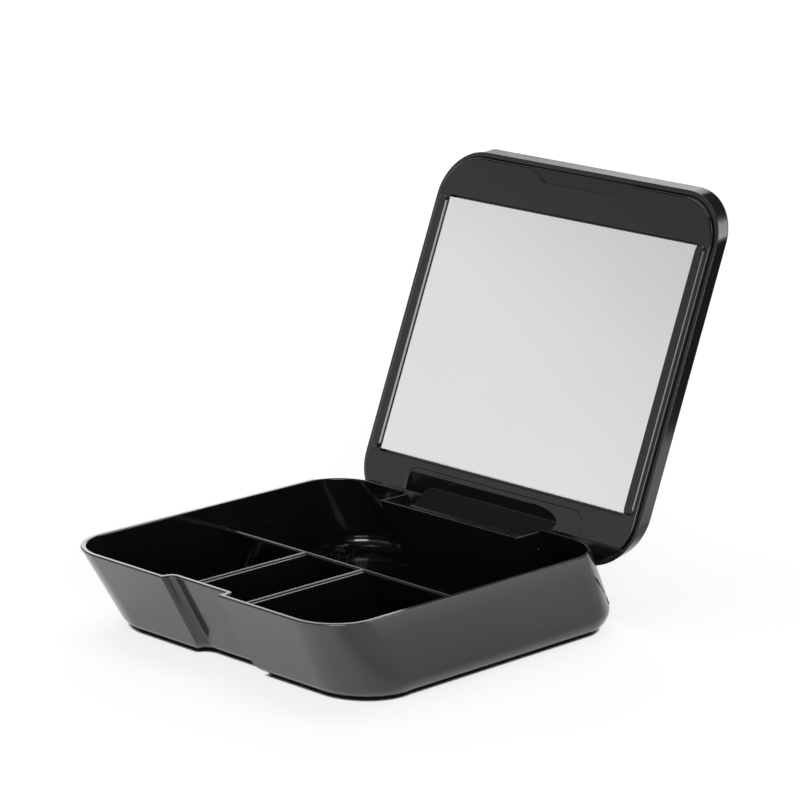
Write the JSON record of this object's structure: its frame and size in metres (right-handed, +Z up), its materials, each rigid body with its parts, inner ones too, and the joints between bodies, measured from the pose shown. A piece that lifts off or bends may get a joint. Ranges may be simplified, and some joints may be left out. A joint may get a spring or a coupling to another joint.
{
  "type": "vanity box with mirror",
  "caption": "Shallow square vanity tray with moulded compartments, a finger recess and a hinged lid that holds a framed mirror.",
  "frame": {"origin": "middle of the flat base that the tray stands on, on the ground", "axes": "+X across the front to the viewer's right, +Y towards the hinge at the back, +Z up"},
  "size_m": [0.18, 0.2656, 0.1966],
  "materials": {
    "tray_plastic": "glossy, slightly worn",
    "shell_plastic": "glossy",
    "liner_plastic": "glossy",
    "strip_plastic": "glossy",
    "mirror": "silvered glass",
    "pad_foam": "foam tape",
    "pin_steel": "drawn wire"
  },
  "bodies": {
    "case": {"tray": "tray_plastic", "hinge_pin_left": "pin_steel", "hinge_pin_right": "pin_steel"},
    "lid": {"lid_shell": "shell_plastic", "lid_liner": "liner_plastic", "mirror_glass": "mirror", "mirror_pad": "pad_foam", "mirror_strip_left": "strip_plastic", "mirror_strip_right": "strip_plastic"}
  },
  "joints": [
    {"name": "lid_hinge", "type": "hinge", "parent": "case", "child": "lid", "pos_m": [0, 0.0674, 0.031], "axis": [1, 0, 0], "range_deg": [0, 111.3]}
  ]
}
